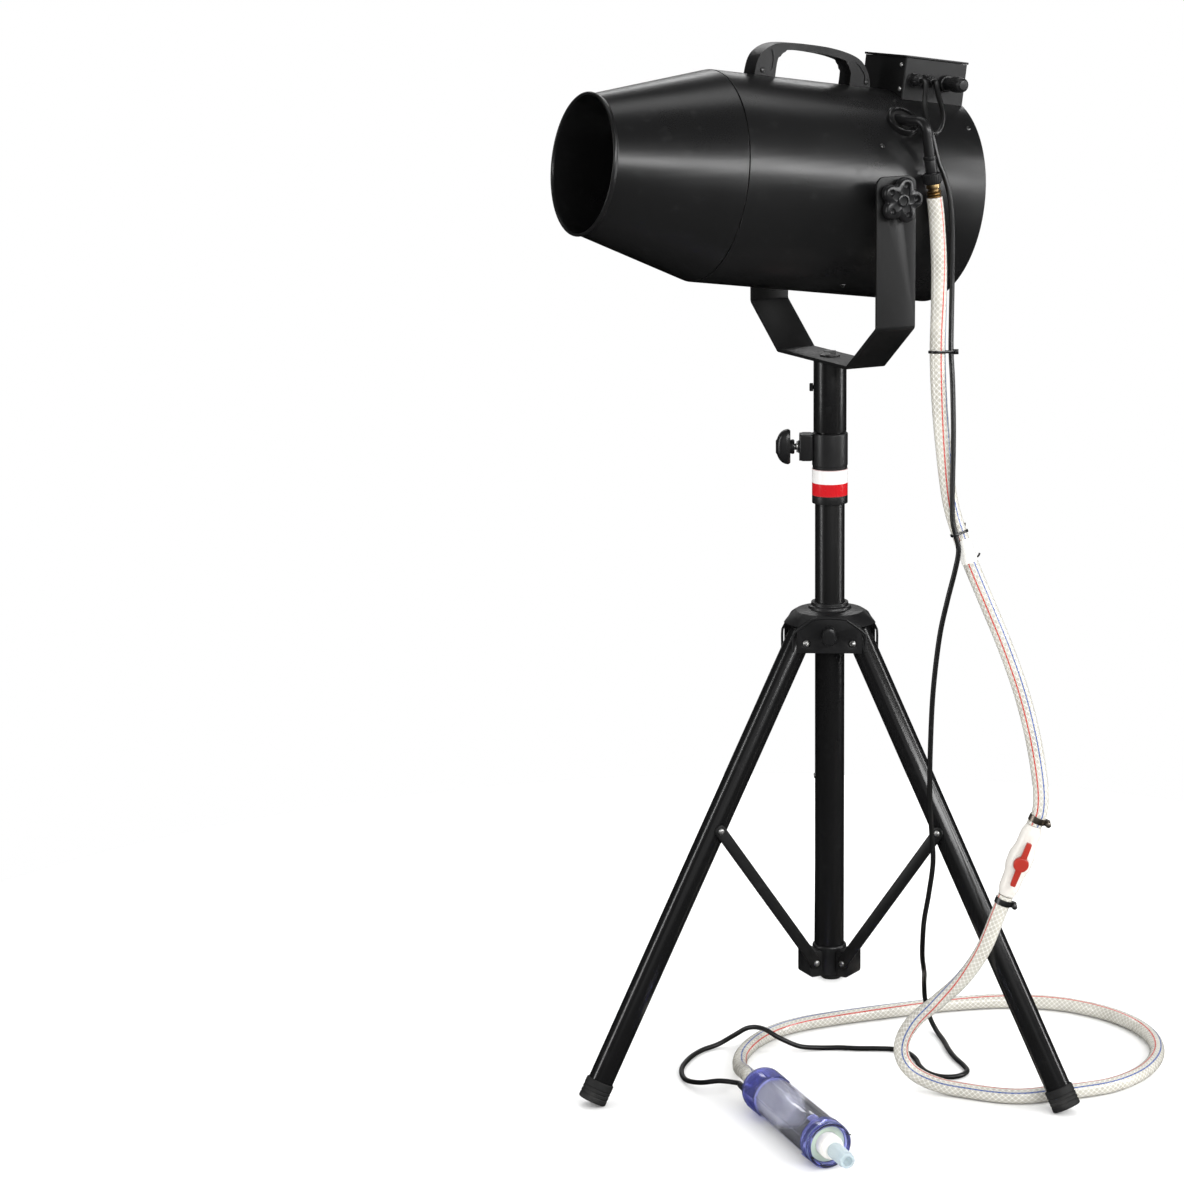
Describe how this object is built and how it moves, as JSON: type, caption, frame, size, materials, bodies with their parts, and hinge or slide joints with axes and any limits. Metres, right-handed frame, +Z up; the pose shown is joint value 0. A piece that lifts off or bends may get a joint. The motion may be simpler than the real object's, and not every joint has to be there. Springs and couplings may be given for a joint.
{
  "type": "foam machine",
  "caption": "Foam machine: a fan barrel with a tapering nozzle in a tilting yoke on a folding tripod, fed through a braided hose by a small pump on the floor.",
  "frame": {"origin": "on the floor, under the middle of the machine's own box; the hose, cable and pump on the floor are left out of it", "axes": "+Z up along the mast, -X the way the nozzle points, -Y the side with the inlet, glands and hose"},
  "size_m": [0.7324, 0.6432, 1.2342],
  "materials": {
    "black_paint": "black powder coat on steel",
    "black_plastic": "moulded black nylon",
    "rubber": "black rubber",
    "steel": "plated steel",
    "brass": "turned brass",
    "grey_metal": "steel motor housings and bracket",
    "grey_plastic": "moulded dark grey plastic",
    "white_plastic": "moulded white plastic",
    "red_plastic": "moulded red plastic",
    "band": "plain two-colour band, white over red",
    "clear_hose": "clear flexible hose with a woven reinforcement",
    "clear_plastic": "clear plastic",
    "blue_clear": "translucent blue plastic"
  },
  "bodies": {
    "stand": {"column_tube": "black_paint", "mast_clamp": "black_plastic", "label_band": "band", "lower_bracket": "black_plastic", "upper_hose": "clear_hose", "lower_hose": "clear_hose", "pump_cable": "black_plastic", "valve_body": "white_plastic", "pump_housing": "clear_plastic", "pump_rear_cap": "blue_clear", "pump_front_ring": "blue_clear", "pump_spout": "white_plastic", "pump_motor": "grey_metal"},
    "mast": {"inner_mast": "black_paint", "cable_tie_lower": "black_plastic"},
    "clamp_knob": {"mast_clamp_knob": "black_plastic"},
    "yoke": {"yoke_bracket": "black_paint", "mast_socket": "black_paint", "yoke_bolt": "black_paint", "cable_tie_upper": "black_plastic"},
    "socket_screw_body": {"socket_screw": "black_plastic"},
    "barrel": {"barrel_shell": "black_paint", "nozzle_cone": "black_paint", "pivot_stud_near": "black_paint", "pivot_stud_far": "black_paint", "fan_motor": "grey_metal", "motor_bracket": "grey_metal", "foam_screen": "steel", "rear_guard": "black_paint", "spray_pipe": "brass", "carry_handle": "black_plastic", "control_box": "black_paint", "control_box_lid": "black_paint", "pump_cable_gland": "black_plastic", "motor_lead_gland": "black_plastic", "power_inlet": "black_plastic", "terminal_block": "white_plastic", "inlet_port": "black_paint", "inlet_elbow": "black_plastic", "hose_tail": "brass", "motor_lead": "black_plastic"},
    "near_tilt_knob": {"tilt_knob_near": "black_plastic"},
    "far_tilt_knob": {"tilt_knob_far": "black_plastic"},
    "fan": {"fan_rotor": "grey_plastic"},
    "valve": {"valve_lever": "red_plastic"},
    "pump_rotor": {"pump_impeller": "white_plastic"},
    "hub": {"hub_casting": "black_plastic", "hub_bolt_front": "steel", "hub_bolt_near": "steel", "hub_bolt_far": "steel"},
    "hub_knob": {"leg_lock_knob": "black_plastic"},
    "leg_front_body": {"leg_front": "black_paint", "foot_front": "rubber"},
    "brace_front_body": {"brace_front": "black_paint"},
    "leg_near_body": {"leg_near": "black_paint", "foot_near": "rubber"},
    "brace_near_body": {"brace_near": "black_paint"},
    "leg_far_body": {"leg_far": "black_paint", "foot_far": "rubber"},
    "brace_far_body": {"brace_far": "black_paint"}
  },
  "joints": [
    {"name": "mast_extend", "type": "slide", "parent": "stand", "child": "mast", "axis": [0, 0, 1], "range_m": [0, 0.4], "deforming": ["upper_hose", "pump_cable"]},
    {"name": "mast_clamp_turn", "type": "hinge", "parent": "stand", "child": "clamp_knob", "pos_m": [0.07954, 0, 0.7615], "axis": [-0.8704, 0.4924, 0], "continuous": true},
    {"name": "head_pan", "type": "hinge", "parent": "mast", "child": "yoke", "pos_m": [0.07954, 0, 0.8], "axis": [0, 0, 1], "range_deg": [-90, 90], "deforming": ["upper_hose", "pump_cable"]},
    {"name": "socket_screw_turn", "type": "hinge", "parent": "yoke", "child": "socket_screw_body", "pos_m": [0.07954, 0, 0.832], "axis": [-0.8704, 0.4924, 0], "continuous": true},
    {"name": "head_tilt", "type": "hinge", "parent": "yoke", "child": "barrel", "pos_m": [0.07954, 0, 1.063], "axis": [0, 1, 0], "range_deg": [-38, 42], "deforming": ["upper_hose", "pump_cable"]},
    {"name": "near_knob_turn", "type": "hinge", "parent": "barrel", "child": "near_tilt_knob", "pos_m": [0.07954, -0.158, 1.063], "axis": [0, -1, 0], "continuous": true},
    {"name": "far_knob_turn", "type": "hinge", "parent": "barrel", "child": "far_tilt_knob", "pos_m": [0.07954, 0.158, 1.063], "axis": [0, 1, 0], "continuous": true},
    {"name": "fan_spin", "type": "hinge", "parent": "barrel", "child": "fan", "pos_m": [0.03993, 0, 1.06857], "axis": [0.9903, 0, -0.1392], "continuous": true},
    {"name": "hub_slide", "type": "slide", "parent": "stand", "child": "hub", "axis": [0, 0, 1], "range_m": [0, 0.0678], "deforming": ["upper_hose", "lower_hose", "pump_cable"]},
    {"name": "hub_knob_turn", "type": "hinge", "parent": "hub", "child": "hub_knob", "pos_m": [0.07954, 0, 0.541], "axis": [-0.5, -0.866, 0], "continuous": true},
    {"name": "leg_front_fold", "type": "hinge", "parent": "hub", "child": "leg_front_body", "pos_m": [0.03644, 0, 0.533], "axis": [0, -1, 0], "range_deg": [0, 26.75]},
    {"name": "brace_front_fold", "type": "hinge", "parent": "stand", "child": "brace_front_body", "pos_m": [0.05154, 0, 0.135], "axis": [0, -1, 0], "range_deg": [-30.1, 0]},
    {"name": "leg_near_fold", "type": "hinge", "parent": "hub", "child": "leg_near_body", "pos_m": [0.10109, -0.03733, 0.533], "axis": [0.866, 0.5, 0], "range_deg": [0, 26.75]},
    {"name": "brace_near_fold", "type": "hinge", "parent": "stand", "child": "brace_near_body", "pos_m": [0.09354, -0.02425, 0.135], "axis": [0.866, 0.5, 0], "range_deg": [-30.1, 0]},
    {"name": "leg_far_fold", "type": "hinge", "parent": "hub", "child": "leg_far_body", "pos_m": [0.10109, 0.03733, 0.533], "axis": [-0.866, 0.5, 0], "range_deg": [0, 26.75]},
    {"name": "brace_far_fold", "type": "hinge", "parent": "stand", "child": "brace_far_body", "pos_m": [0.09354, 0.02425, 0.135], "axis": [-0.866, 0.5, 0], "range_deg": [-30.1, 0]},
    {"name": "valve_turn", "type": "hinge", "parent": "stand", "child": "valve", "pos_m": [0.19079, -0.2473, 0.30625], "axis": [-0.4871, -0.8733, 0.0111], "range_deg": [0, 90]},
    {"name": "pump_spin", "type": "hinge", "parent": "stand", "child": "pump_rotor", "pos_m": [-0.08167, -0.21943, 0.027], "axis": [-0.0976, -0.9952, 0], "continuous": true}
  ],
  "couplings": [
    {"joint": "leg_front_fold", "follows": "hub_slide", "rad_per_m": 6.8571},
    {"joint": "brace_front_fold", "follows": "hub_slide", "rad_per_m": -7.6943},
    {"joint": "leg_near_fold", "follows": "hub_slide", "rad_per_m": 6.8571},
    {"joint": "brace_near_fold", "follows": "hub_slide", "rad_per_m": -7.6943},
    {"joint": "leg_far_fold", "follows": "hub_slide", "rad_per_m": 6.8571},
    {"joint": "brace_far_fold", "follows": "hub_slide", "rad_per_m": -7.6943}
  ]
}
